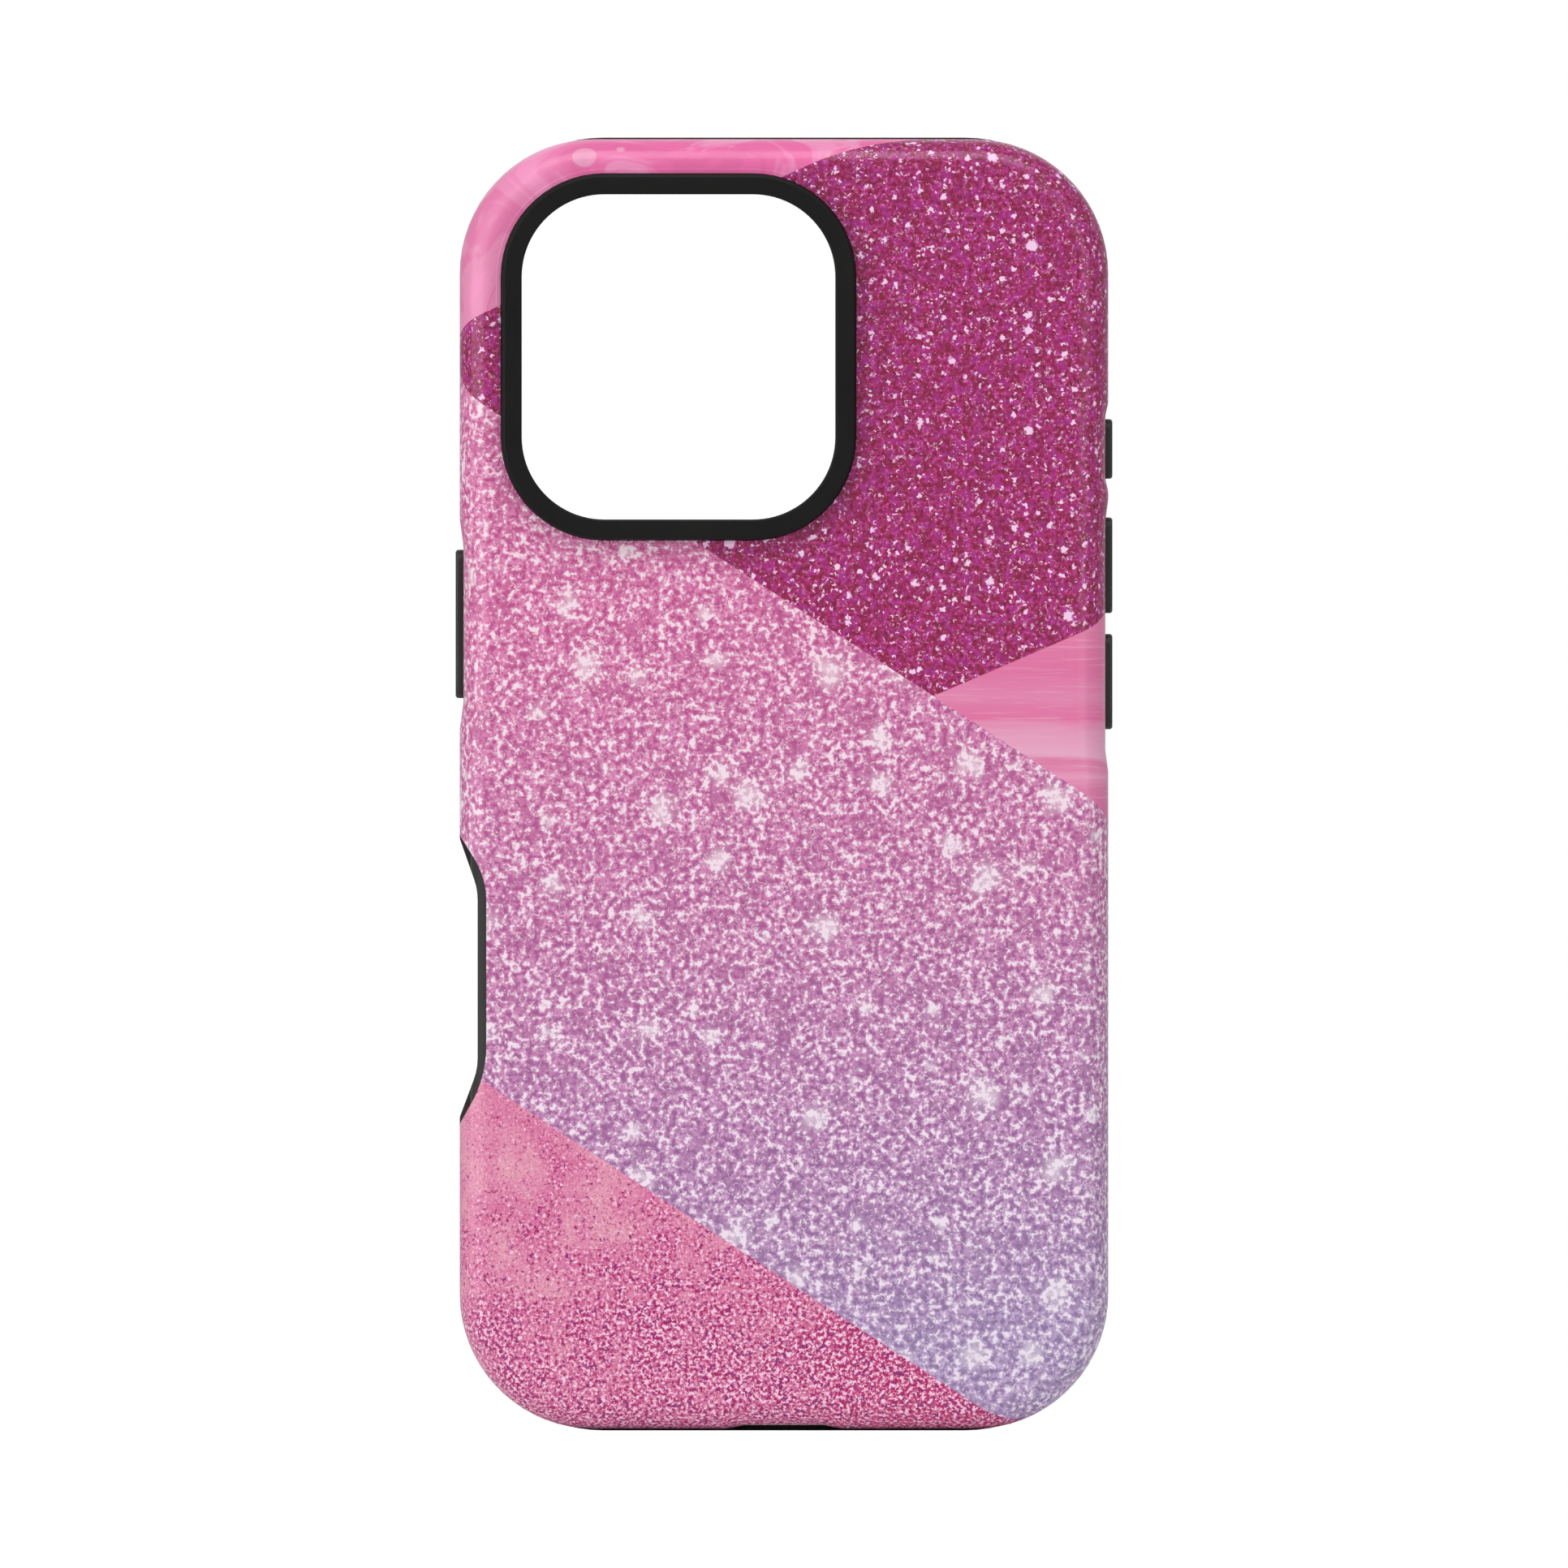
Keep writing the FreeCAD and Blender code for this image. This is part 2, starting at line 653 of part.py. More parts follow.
def make_camera_bezel():
    """Ring that guards the camera, with a flange trapped between liner and shell."""
    flange_y = LINER_BACK_Y + RING_FLANGE_DEPTH
    ring = camera_block(0.0, RING_FACE_Y, flange_y)
    ring = ring.makeFillet(RING_OUTER_EDGE_RADIUS, edges_at_y(ring, RING_FACE_Y))
    ring = ring.fuse(camera_block(RING_FLANGE_REACH, LINER_BACK_Y, flange_y))
    below_face = RING_FACE_Y - SHORT_OVERRUN
    ring = ring.cut(camera_block(-RING_BAND, below_face, flange_y + SHORT_OVERRUN))
    half_x = RING_WIDTH / 2 - RING_BAND + TOLERANCE
    half_z = RING_HEIGHT / 2 - RING_BAND + TOLERANCE
    face_edges = edges_at_y(ring, RING_FACE_Y)
    inner_edges = edges_within(face_edges, half_x, half_z, CAMERA_X, CAMERA_Z)
    return ring.makeFillet(RING_INNER_EDGE_RADIUS, inner_edges)


def make_button_cap(side, top_z, bottom_z):
    """Button: a block that stands out of the side, a neck, and a foot behind the web."""
    block = side_block(
        side,
        BUTTON_BLOCK_BACK_X,
        BUTTON_FACE_X,
        top_z,
        bottom_z,
        BUTTON_WIDTH,
        BUTTON_CORNER_RADIUS,
    )
    face_edges = [
        edge
        for edge in block.Edges
        if all(abs(vertex.X) > BUTTON_FACE_X - TOLERANCE for vertex in edge.Vertexes)
    ]
    block = block.makeFillet(BUTTON_EDGE_RADIUS, face_edges)
    shorter = NECK_SHORTER / 2
    neck = side_block(
        side,
        NECK_INNER_X,
        BUTTON_BLOCK_BACK_X,
        top_z - shorter,
        bottom_z + shorter,
        NECK_WIDTH,
        NECK_WIDTH / 2 - PILL_SLACK,
    )
    foot = side_block(
        side,
        FOOT_INNER_X,
        NECK_INNER_X,
        top_z - shorter + FOOT_REACH,
        bottom_z + shorter - FOOT_REACH,
        NECK_WIDTH + 2 * FOOT_REACH,
        NECK_WIDTH / 2,
    )
    return block.fuse(neck).fuse(foot).removeSplitter()


def make_button_web(side, top_z, bottom_z):
    """Thin web across the liner's window, with the button's neck through its middle."""
    extra = WEB_LONGER / 2
    web = side_block(
        side,
        WEB_INNER_X,
        WEB_OUTER_X,
        top_z + extra,
        bottom_z - extra,
        WEB_WIDTH,
        BUTTON_CORNER_RADIUS,
    )
    shorter = NECK_SHORTER / 2 - WEB_HOLE_CLEARANCE
    hole = side_block(
        side,
        WEB_INNER_X - SHORT_OVERRUN,
        WEB_OUTER_X + SHORT_OVERRUN,
        top_z - shorter,
        bottom_z + shorter,
        NECK_WIDTH + 2 * WEB_HOLE_CLEARANCE,
        NECK_WIDTH / 2,
    )
    return web.cut(hole)


def make_film(y_low, y_high):
    """Thin film that follows the magnets: a ring, and a bar below it."""
    ring = hollow_ring(
        POCKET_OUTER_RADIUS - INSERT_CLEARANCE,
        POCKET_INNER_RADIUS + INSERT_CLEARANCE,
        y_low,
        y_high,
    )
    return Part.makeCompound([ring, bar_block(INSERT_CLEARANCE, y_low, y_high)])


def make_magnet_carrier():
    """Channel-shaped ring that keeps the arc magnets in their places."""
    floor_y = -POCKET_DEPTH + FILM_DEPTH
    carrier = hollow_ring(
        POCKET_OUTER_RADIUS - INSERT_CLEARANCE,
        POCKET_INNER_RADIUS + INSERT_CLEARANCE,
        floor_y,
        -FILM_DEPTH,
    )
    channel = hollow_ring(
        MAGNET_OUTER_RADIUS + MAGNET_CLEARANCE,
        MAGNET_INNER_RADIUS - MAGNET_CLEARANCE,
        floor_y + CARRIER_FLOOR,
        0.0,
    )
    return carrier.cut(channel)


def make_ring_magnets():
    """The arc magnets, each a separate solid, side by side round the ring."""
    pitch = 360.0 / MAGNET_COUNT
    low_y = -POCKET_DEPTH + FILM_DEPTH + CARRIER_FLOOR
    depth = -FILM_DEPTH - low_y
    axis = Vector(0, 1, 0)
    centre = Vector(0, low_y, MAGNET_Z)
    sweep = pitch - MAGNET_GAP_DEGREES
    outer = Part.makeCylinder(MAGNET_OUTER_RADIUS, depth, centre, axis, sweep)
    inner = Part.makeCylinder(MAGNET_INNER_RADIUS, depth, centre, axis, sweep)
    magnet = outer.cut(inner)
    magnets = []
    for index in range(MAGNET_COUNT):
        copy = magnet.copy()
        copy.rotate(centre, axis, index * pitch)
        magnets.append(copy)
    return Part.makeCompound(magnets)


def make_parts():
    """Every sub-part of the case by name."""
    parts = {
        "outer_shell": make_outer_shell(),
        "inner_liner": make_inner_liner(),
        "camera_bezel": make_camera_bezel(),
        "magnet_adhesive": make_film(-POCKET_DEPTH, -POCKET_DEPTH + FILM_DEPTH),
        "magnet_carrier": make_magnet_carrier(),
        "ring_magnets": make_ring_magnets(),
        "alignment_magnet": bar_block(
            INSERT_CLEARANCE, -POCKET_DEPTH + FILM_DEPTH, -FILM_DEPTH
        ),
        "magnet_cover": make_film(-FILM_DEPTH, 0.0),
    }
    for name, side, top_z, bottom_z in BUTTONS:
        parts[name + "_cap"] = make_button_cap(side, top_z, bottom_z)
        parts[name + "_web"] = make_button_web(side, top_z, bottom_z)
    return parts


os.makedirs("parts", exist_ok=True)
for part_name, shape in make_parts().items():
    box = shape.optimalBoundingBox()
    print(
        f"{part_name:20s} solids {len(shape.Solids):3d} valid {shape.isValid()} "
        f"volume {shape.Volume:9.2f} mm3 "
        f"x {box.XMin:7.2f} {box.XMax:7.2f} y {box.YMin:6.2f} {box.YMax:6.2f} "
        f"z {box.ZMin:7.2f} {box.ZMax:7.2f}"
    )
    shape.exportStep(os.path.join("parts", part_name + ".step"))
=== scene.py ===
"""Looks of the two-layer phone case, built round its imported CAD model.

Lengths are metres in Blender and millimetres in the materials, whose grain is a
fraction of a millimetre. X is to the right seen from the printed back, -Y points out of
that back, +Z is up. Colours are sRGB, 0 to 255.
"""

import math

import bpy
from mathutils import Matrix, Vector


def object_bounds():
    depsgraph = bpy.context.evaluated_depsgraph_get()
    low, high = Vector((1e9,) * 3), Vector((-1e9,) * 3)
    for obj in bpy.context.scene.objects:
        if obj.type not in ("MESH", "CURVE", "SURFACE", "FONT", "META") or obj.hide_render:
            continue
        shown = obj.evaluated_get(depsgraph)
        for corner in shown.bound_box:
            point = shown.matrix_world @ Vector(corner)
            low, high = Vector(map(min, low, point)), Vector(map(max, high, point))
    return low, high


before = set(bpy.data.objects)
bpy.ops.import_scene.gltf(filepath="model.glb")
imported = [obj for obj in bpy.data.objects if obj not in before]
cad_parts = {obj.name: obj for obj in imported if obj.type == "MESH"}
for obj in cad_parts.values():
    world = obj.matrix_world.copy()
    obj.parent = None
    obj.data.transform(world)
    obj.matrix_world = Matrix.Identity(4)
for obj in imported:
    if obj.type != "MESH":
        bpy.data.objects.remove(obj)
cad_low, cad_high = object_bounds()

MM = 0.001


def linear(colour):
    """An sRGB colour of 0 to 255 as Blender's linear colour."""
    shades = [c / 255 for c in colour]
    return [s / 12.92 if s <= 0.04045 else ((s + 0.055) / 1.055) ** 2.4 for s in shades] + [1.0]


class Graph:
    """Adds shader nodes to one material or world, and links them.

    Most values may be either a constant or the output of another node.
    """

    def __init__(self, owner):
        owner.use_nodes = True
        self.tree = owner.node_tree
        self.tree.nodes.clear()

    def put(self, socket, value):
        """Links an output to an input socket, or sets the socket to a constant."""
        if isinstance(value, bpy.types.NodeSocket):
            self.tree.links.new(value, socket)
        else:
            socket.default_value = value

    def node(self, kind, inputs=None, **settings):
        """A node with these inputs, by name or number, and these settings."""
        made = self.tree.nodes.new(kind)
        for name, value in settings.items():
            setattr(made, name, value)
        for name, value in (inputs or {}).items():
            self.put(made.inputs[name], value)
        return made

    def math(self, operation, a, b=0.0, c=0.0, clamp=False):
        made = self.node("ShaderNodeMath", {0: a, 1: b, 2: c}, operation=operation, use_clamp=clamp)
        return made.outputs[0]

    def times(self, a, b):
        return self.math("MULTIPLY", a, b)

    def most(self, a, b):
        return self.math("MAXIMUM", a, b)

    def line(self, value, slope, start):
        """The straight line start + slope * value."""
        return self.math("MULTIPLY_ADD", value, slope, start)

    def vector(self, operation, a, b=(0.0, 0.0, 0.0), scale=1.0):
        made = self.node("ShaderNodeVectorMath", operation=operation)
        self.put(made.inputs[0], a)
        if operation == "SCALE":
            self.put(made.inputs["Scale"], scale)
        elif operation != "LENGTH":
            self.put(made.inputs[1], b)
        gives_number = operation in ("DOT_PRODUCT", "DISTANCE", "LENGTH")
        return made.outputs["Value" if gives_number else "Vector"]

    def step(self, value, low, high, smooth=True):
        """0 at low and 1 at high, and held past them; low may be the greater of the two."""
        kind = "SMOOTHSTEP" if smooth else "LINEAR"
        inputs = {"Value": value, "From Min": low, "From Max": high}
        made = self.node("ShaderNodeMapRange", inputs, interpolation_type=kind, clamp=True)
        return made.outputs["Result"]

    def shade(self, colour):
        """A colour output as it is, and an sRGB colour made linear."""
        return colour if isinstance(colour, bpy.types.NodeSocket) else linear(colour)

    def mix(self, factor, a, b):
        """Turns colour a into colour b as factor goes from 0 to 1."""
        inputs = {0: factor, 6: self.shade(a), 7: self.shade(b)}
        return self.node("ShaderNodeMix", inputs, data_type="RGBA", blend_type="MIX").outputs[2]

    def ramp(self, factor, stops):
        """A colour ramp through (position, sRGB colour) stops."""
        made = self.node("ShaderNodeValToRGB", {"Fac": factor})
        elements = made.color_ramp.elements
        first, last = elements[0], elements[1]
        first.position, first.color = stops[0][0], linear(stops[0][1])
        last.position, last.color = stops[-1][0], linear(stops[-1][1])
        for position, colour in stops[1:-1]:
            elements.new(position).color = linear(colour)
        return made.outputs["Color"]

    def noise(self, place, scale, detail=2.0, roughness=0.5, distortion=0.0, flat=False):
        """Cloudy noise of 0 to 1; a flat one takes x and y alone."""
        inputs = {"Vector": place, "Scale": scale, "Detail": detail}
        inputs |= {"Roughness": roughness, "Distortion": distortion}
        made = self.node("ShaderNodeTexNoise", inputs, noise_dimensions="2D" if flat else "3D")
        return made.outputs["Fac"]

    def cells(self, place, scale, flat=False):
        """Distance to the nearest scattered point, in millimetres, and a random value for it."""
        inputs = {"Vector": place, "Scale": scale}
        made = self.node("ShaderNodeTexVoronoi", inputs, voronoi_dimensions="2D" if flat else "3D")
        chance = self.node("ShaderNodeSeparateColor", {0: made.outputs["Color"]})
        return self.math("DIVIDE", made.outputs["Distance"], scale), chance.outputs[0]

    def shift(self, place, apart):
        """The same coordinates moved, so that two textures of one kind don't line up."""
        return self.vector("ADD", place, (*apart, 0.0)) if apart else place

    def warp(self, place, scale, reach):
        """Coordinates pushed about by up to half of reach, so that round things turn ragged."""
        inputs = {"Vector": place, "Scale": scale, "Detail": 1.0}
        made = self.node("ShaderNodeTexNoise", inputs, noise_dimensions="2D")
        push = self.vector("SUBTRACT", made.outputs["Color"], (0.5, 0.5, 0.5))
        return self.vector("ADD", place, self.vector("SCALE", push, scale=reach))

    def stretch(self, place, across, up):
        """Coordinates scaled on their own in x and y, which draws a texture out into streaks."""
        return self.node("ShaderNodeMapping", {"Vector": place, "Scale": (across, up, 1.0)}).outputs[0]

    def bump(self, height, distance):
        """A normal from a height field, where a height of 1 stands distance millimetres high."""
        inputs = {"Height": height, "Distance": distance * MM, "Strength": 1.0}
        return self.node("ShaderNodeBump", inputs).outputs["Normal"]

    def surface(self, **inputs):
        """Ends the graph in a Principled surface; an underscore in a name stands for a space."""
        named = {name.replace("_", " "): value for name, value in inputs.items()}
        shader = self.node("ShaderNodeBsdfPrincipled", named)
        self.node("ShaderNodeOutputMaterial", {"Surface": shader.outputs[0]})


def new_material(name):
    """A material, its graph, and object coordinates in millimetres, which ride with the piece."""
    material = bpy.data.materials.new(name)
    graph = Graph(material)
    coordinates = graph.node("ShaderNodeTexCoord")
    place = graph.vector("SCALE", coordinates.outputs["Object"], scale=1 / MM)
    return material, graph, place


PLASTIC_IOR = 1.5


# ---------------------------------------------------------------- the printed shell

# Y of the shell's flat back, from which the print wraps over the edge, and of its inner face.
PRINT_PLANE = -2.7
SHELL_INNER_PLANE = -1.5
INNER_PLANE_BLUR = 0.02

# Straight edges of the print's zones: x and z of a point on each, in millimetres, and its slope.
STRIP_EDGE = (-38.9, 55.6, 0.455)
WEDGE_EDGE = (18.0, 10.6, 0.43)
BAND_TOP = (18.0, 10.6, -0.647)
BAND_FOOT = (-36.1, -36.0, -0.656)
PRINT_BLUR = 0.07


def above(graph, x, z, edge):
    """1 on the upper side of a zone edge, 0 below it."""
    at_x, at_z, slope = edge
    length = math.hypot(1, slope)
    rise = graph.line(x, -slope / length, (slope * at_x - at_z) / length)
    distance = graph.line(z, 1 / length, rise)
    return graph.step(distance, -PRINT_BLUR, PRINT_BLUR)


def flat_noise(graph, place, scale, apart=None, **settings):
    """Cloudy noise on the print's sheet."""
    return graph.noise(graph.shift(place, apart), scale, flat=True, **settings)


def sparkles(graph, place, scale, share, radius, softness, apart=None):
    """Round bright grains: share of the cells hold one, of up to radius millimetres."""
    distance, chance = graph.cells(graph.shift(place, apart), scale, flat=True)
    size = graph.step(chance, 1 - share, 1.0, smooth=False)
    reach = graph.times(size, radius)
    return graph.step(distance, reach, graph.times(reach, softness))


MAGENTA_GRAIN = [
    (0.32, (108, 2, 42)), (0.44, (153, 20, 80)), (0.54, (180, 34, 113)),
    (0.64, (190, 66, 142)), (0.76, (228, 146, 202)),
]
MAGENTA_VIOLET = (178, 44, 152)
MAGENTA_RED = (138, 20, 56)
MAGENTA_SHADE = (132, 12, 70)
MAGENTA_SPARKLE = (255, 212, 246)


def magenta_glitter(graph, place):
    """Deep magenta flakes with dark red gaps and scattered white-pink sparkles."""
    grain = flat_noise(graph, place, scale=1.9, detail=3.0, roughness=0.62)
    tone = graph.ramp(grain, MAGENTA_GRAIN)
    hue = flat_noise(graph, place, scale=0.8, apart=(31, 7), detail=3.0, roughness=0.6)
    tone = graph.mix(graph.times(graph.step(hue, 0.50, 0.62), 0.55), tone, MAGENTA_VIOLET)
    tone = graph.mix(graph.times(graph.step(hue, 0.47, 0.33), 0.7), tone, MAGENTA_RED)
    patch = flat_noise(graph, place, scale=0.42, apart=(51, 23))
    tone = graph.mix(graph.times(graph.step(patch, 0.54, 0.34), 0.40), tone, MAGENTA_SHADE)

    ragged = graph.warp(place, scale=2.2, reach=0.75)
    crowd = graph.step(flat_noise(graph, place, scale=0.16, apart=(9, 4)), 0.3, 0.6)
    small = sparkles(graph, ragged, scale=1.9, share=0.32, radius=0.25, softness=0.5)
    tiny = sparkles(graph, ragged, scale=3.3, share=0.26, radius=0.15, softness=0.4, apart=(17, 5))
    middle = sparkles(graph, ragged, scale=0.70, share=0.36, radius=0.44, softness=0.6, apart=(5, 3))
    large = sparkles(graph, ragged, scale=0.22, share=0.34, radius=0.85, softness=0.6, apart=(11, 17))
    small = graph.times(small, graph.line(crowd, 0.60, 0.44))
    small = graph.most(small, graph.times(tiny, 0.42))
    light = graph.most(graph.most(small, middle), large)
    return graph.mix(light, tone, MAGENTA_SPARKLE)


# The band's colours run from its top left at 0 to its lower right at 1: the height where
# they start, how much that rises with x, and the length of the run.
BAND_START = 25.0
BAND_SLANT = 0.15
BAND_LENGTH = 95.0
BAND_MIDDLE = [
    (0.0, (229, 134, 184)), (0.44, (215, 140, 187)), (0.62, (207, 144, 192)),
    (0.76, (200, 148, 194)), (0.89, (195, 155, 198)), (1.0, (192, 166, 206)),
]
BAND_DARK = [
    (0.0, (194, 80, 142)), (0.44, (172, 89, 148)),
    (0.76, (152, 100, 154)), (1.0, (144, 119, 165)),
]
BAND_PALE = [(0.0, (254, 228, 240)), (1.0, (242, 232, 244))]
STAR_LEAST_REACH = 0.4
STAR_MORE_REACH = 3.2


def band_glitter(graph, place, x, z):
    """Pale glitter that turns from pink to lilac, with a white mesh of flakes and soft stars."""
    run = graph.line(z, -1.0, graph.line(x, BAND_SLANT, BAND_START))
    run = graph.math("DIVIDE", run, BAND_LENGTH)
    dark = graph.ramp(run, BAND_DARK)
    grain = flat_noise(graph, place, scale=1.32, detail=2.5, roughness=0.55)
    tone = graph.mix(graph.step(grain, 0.53, 0.34), graph.ramp(run, BAND_MIDDLE), dark)
    soft = flat_noise(graph, place, scale=0.30, apart=(2, 37), detail=3.0, roughness=0.6)
    tone = graph.mix(graph.times(graph.step(soft, 0.54, 0.34), 0.55), tone, dark)

    ragged = graph.warp(place, scale=1.6, reach=0.9)
    mesh = flat_noise(graph, ragged, scale=1.1, apart=(13, 29))
    ridge = graph.math("ABSOLUTE", graph.math("SUBTRACT", mesh, 0.5))
    thread = graph.step(ridge, 0.045, 0.0)
    broken = flat_noise(graph, place, scale=1.0, apart=(41, 3), detail=1.0)
    thread = graph.times(thread, graph.step(broken, 0.46, 0.58))

    scattered = graph.shift(graph.warp(place, scale=0.5, reach=2.4), (23, 9))
    star, chance = graph.cells(scattered, scale=0.105, flat=True)
    reach = graph.line(chance, STAR_MORE_REACH, STAR_LEAST_REACH)
    glow = graph.step(star, reach, 0.0)
    bright = graph.line(glow, 0.15, grain)
    bright = graph.line(soft, 0.26, bright)
    fleck = graph.step(bright, 0.675, 0.805)
    light = graph.most(graph.times(thread, 0.75), fleck)
    haze = graph.times(graph.math("POWER", glow, 1.6), 0.70)
    return graph.mix(graph.most(light, haze), tone, graph.ramp(run, BAND_PALE))


CORAL_CLOUD = [(0.32, (220, 120, 163)), (0.50, (227, 140, 173)), (0.68, (234, 164, 185))]
CORAL_THICK = (211, 88, 153)
CORAL_DEEP = (202, 34, 116)
CORAL_DUST_PALE = (246, 182, 208)
CORAL_DUST_DARK = (204, 74, 132)
CORAL_SPECKS = [(170, 12, 98), (138, 30, 114)]
CORAL_FLECK = (255, 216, 238)
# How thick the grains lie at the case's middle, and how much thicker they get for each
# millimetre to the right and upwards. The deep pink comes in between two values of x.
THICK_AT_MIDDLE = -1.10
THICKEN_RIGHT = 0.007
THICKEN_UP = -0.030
DEEP_START, DEEP_END = -4.0, 17.0


def coral_glitter(graph, place, x, z):
    """Soft coral pink, dusted with dark and pale grains that thicken downwards and rightwards."""
    cloud = flat_noise(graph, place, scale=0.16, detail=4.0, roughness=0.6)
    tone = graph.ramp(cloud, CORAL_CLOUD)
    thick = graph.line(z, THICKEN_UP, graph.times(x, THICKEN_RIGHT))
    thick = graph.math("ADD", thick, THICK_AT_MIDDLE)
    thick = graph.math("ADD", thick, graph.line(cloud, -1.6, 0.85), clamp=True)
    tone = graph.mix(graph.times(thick, 0.78), tone, CORAL_THICK)
    deep = graph.times(graph.step(x, DEEP_START, DEEP_END), thick)
    tone = graph.mix(graph.times(deep, 0.85), tone, CORAL_DEEP)

    dust = flat_noise(graph, place, scale=3.4, apart=(71, 13), roughness=0.6)
    tone = graph.mix(graph.times(graph.step(dust, 0.54, 0.74), 0.8), tone, CORAL_DUST_PALE)
    tone = graph.mix(graph.times(graph.step(dust, 0.44, 0.30), 0.6), tone, CORAL_DUST_DARK)

    ragged = graph.warp(graph.shift(place, (3, 19)), scale=3.1, reach=0.35)
    grain = flat_noise(graph, ragged, scale=2.1, detail=3.0, roughness=0.72)
    clump = flat_noise(graph, place, scale=0.62, apart=(27, 53), roughness=0.6)
    grain = graph.line(clump, -0.22, graph.math("ADD", grain, 0.11))
    low = graph.line(thick, 0.122, 0.366)
    speck = graph.step(grain, low, graph.math("SUBTRACT", low, 0.05))
    hue = flat_noise(graph, place, scale=1.3, apart=(61, 43), detail=1.0)
    tone = graph.mix(speck, tone, graph.mix(graph.step(hue, 0.46, 0.62), *CORAL_SPECKS))

    pale = graph.line(clump, 0.30, graph.math("ADD", grain, -0.15))
    high = graph.line(thick, -0.118, 0.648)
    fleck = graph.step(pale, high, graph.math("ADD", high, 0.06))
    return graph.mix(fleck, tone, CORAL_FLECK)


# The heights between which the wedge's colours run.
WEDGE_LOW, WEDGE_HIGH = -2.9, 21.1
WEDGE_COLOURS = [
    (0.02, (221, 114, 167)), (0.14, (227, 127, 173)), (0.21, (238, 155, 193)),
    (0.27, (228, 125, 171)), (0.32, (238, 173, 203)), (0.43, (236, 157, 192)),
    (0.50, (233, 114, 166)), (0.60, (233, 137, 181)), (0.74, (232, 117, 168)),
    (0.92, (233, 127, 173)),
]
WEDGE_GLINT = (240, 178, 206)


def streaked_wedge(graph, place, z):
    """Silky horizontal streaks of pink."""
    waves = graph.stretch(place, across=0.06, up=0.9)
    wander = flat_noise(graph, waves, scale=1.0, detail=3.0, roughness=0.6)
    height = graph.line(wander, 2.2, z)
    base = graph.ramp(graph.step(height, WEDGE_LOW, WEDGE_HIGH, smooth=False), WEDGE_COLOURS)
    threads = graph.stretch(place, across=0.10, up=2.2)
    streak = flat_noise(graph, threads, scale=1.0, detail=3.0, roughness=0.65)
    return graph.mix(graph.times(graph.step(streak, 0.5, 0.75), 0.42), base, WEDGE_GLINT)


STRIP_PINK = (241, 111, 173)
STRIP_PALE = (247, 150, 197)
STRIP_DEEP = (227, 102, 162)
# The pink of the top left corner comes in between two values of x.
STRIP_CORNER_PINK = (238, 146, 188)
STRIP_CORNER_START, STRIP_CORNER_END = -18.0, -38.0
# Two pale out-of-focus dots near the top edge: x, z and radius.
DOTS = [(-24.1, 75.9, 1.66), (-19.7, 77.1, 0.69)]
DOT_BLUR = 0.35
DOT_PINK = (246, 190, 214)


def washed_strip(graph, place, x):
    """Wet-looking pink wash with a few pale dots."""
    swirl = flat_noise(graph, place, scale=0.10, detail=4.0, distortion=1.2)
    corner = graph.step(x, STRIP_CORNER_START, STRIP_CORNER_END)
    tone = graph.mix(corner, STRIP_PINK, STRIP_CORNER_PINK)
    tone = graph.mix(graph.step(swirl, 0.50, 0.62), tone, STRIP_PALE)
    tone = graph.mix(graph.times(graph.step(swirl, 0.42, 0.34), 0.5), tone, STRIP_DEEP)
    for at_x, at_z, radius in DOTS:
        away = graph.vector("DISTANCE", place, (at_x, at_z, 0.0))
        inside = graph.step(away, radius, radius - DOT_BLUR)
        tone = graph.mix(graph.times(inside, 0.5), tone, DOT_PINK)
    return tone


# The plastic is bare on walls that face the case's middle, which the dot product of their
# normal and place in millimetres tells, and on faces whose normal points to the front.
BARE_PLASTIC = (232, 228, 229)
WALL_FACES_OUT, WALL_FACES_IN = -3.0, -6.0
FACE_TURNS_FRONT, FACE_IS_FRONT = 0.35, 0.55


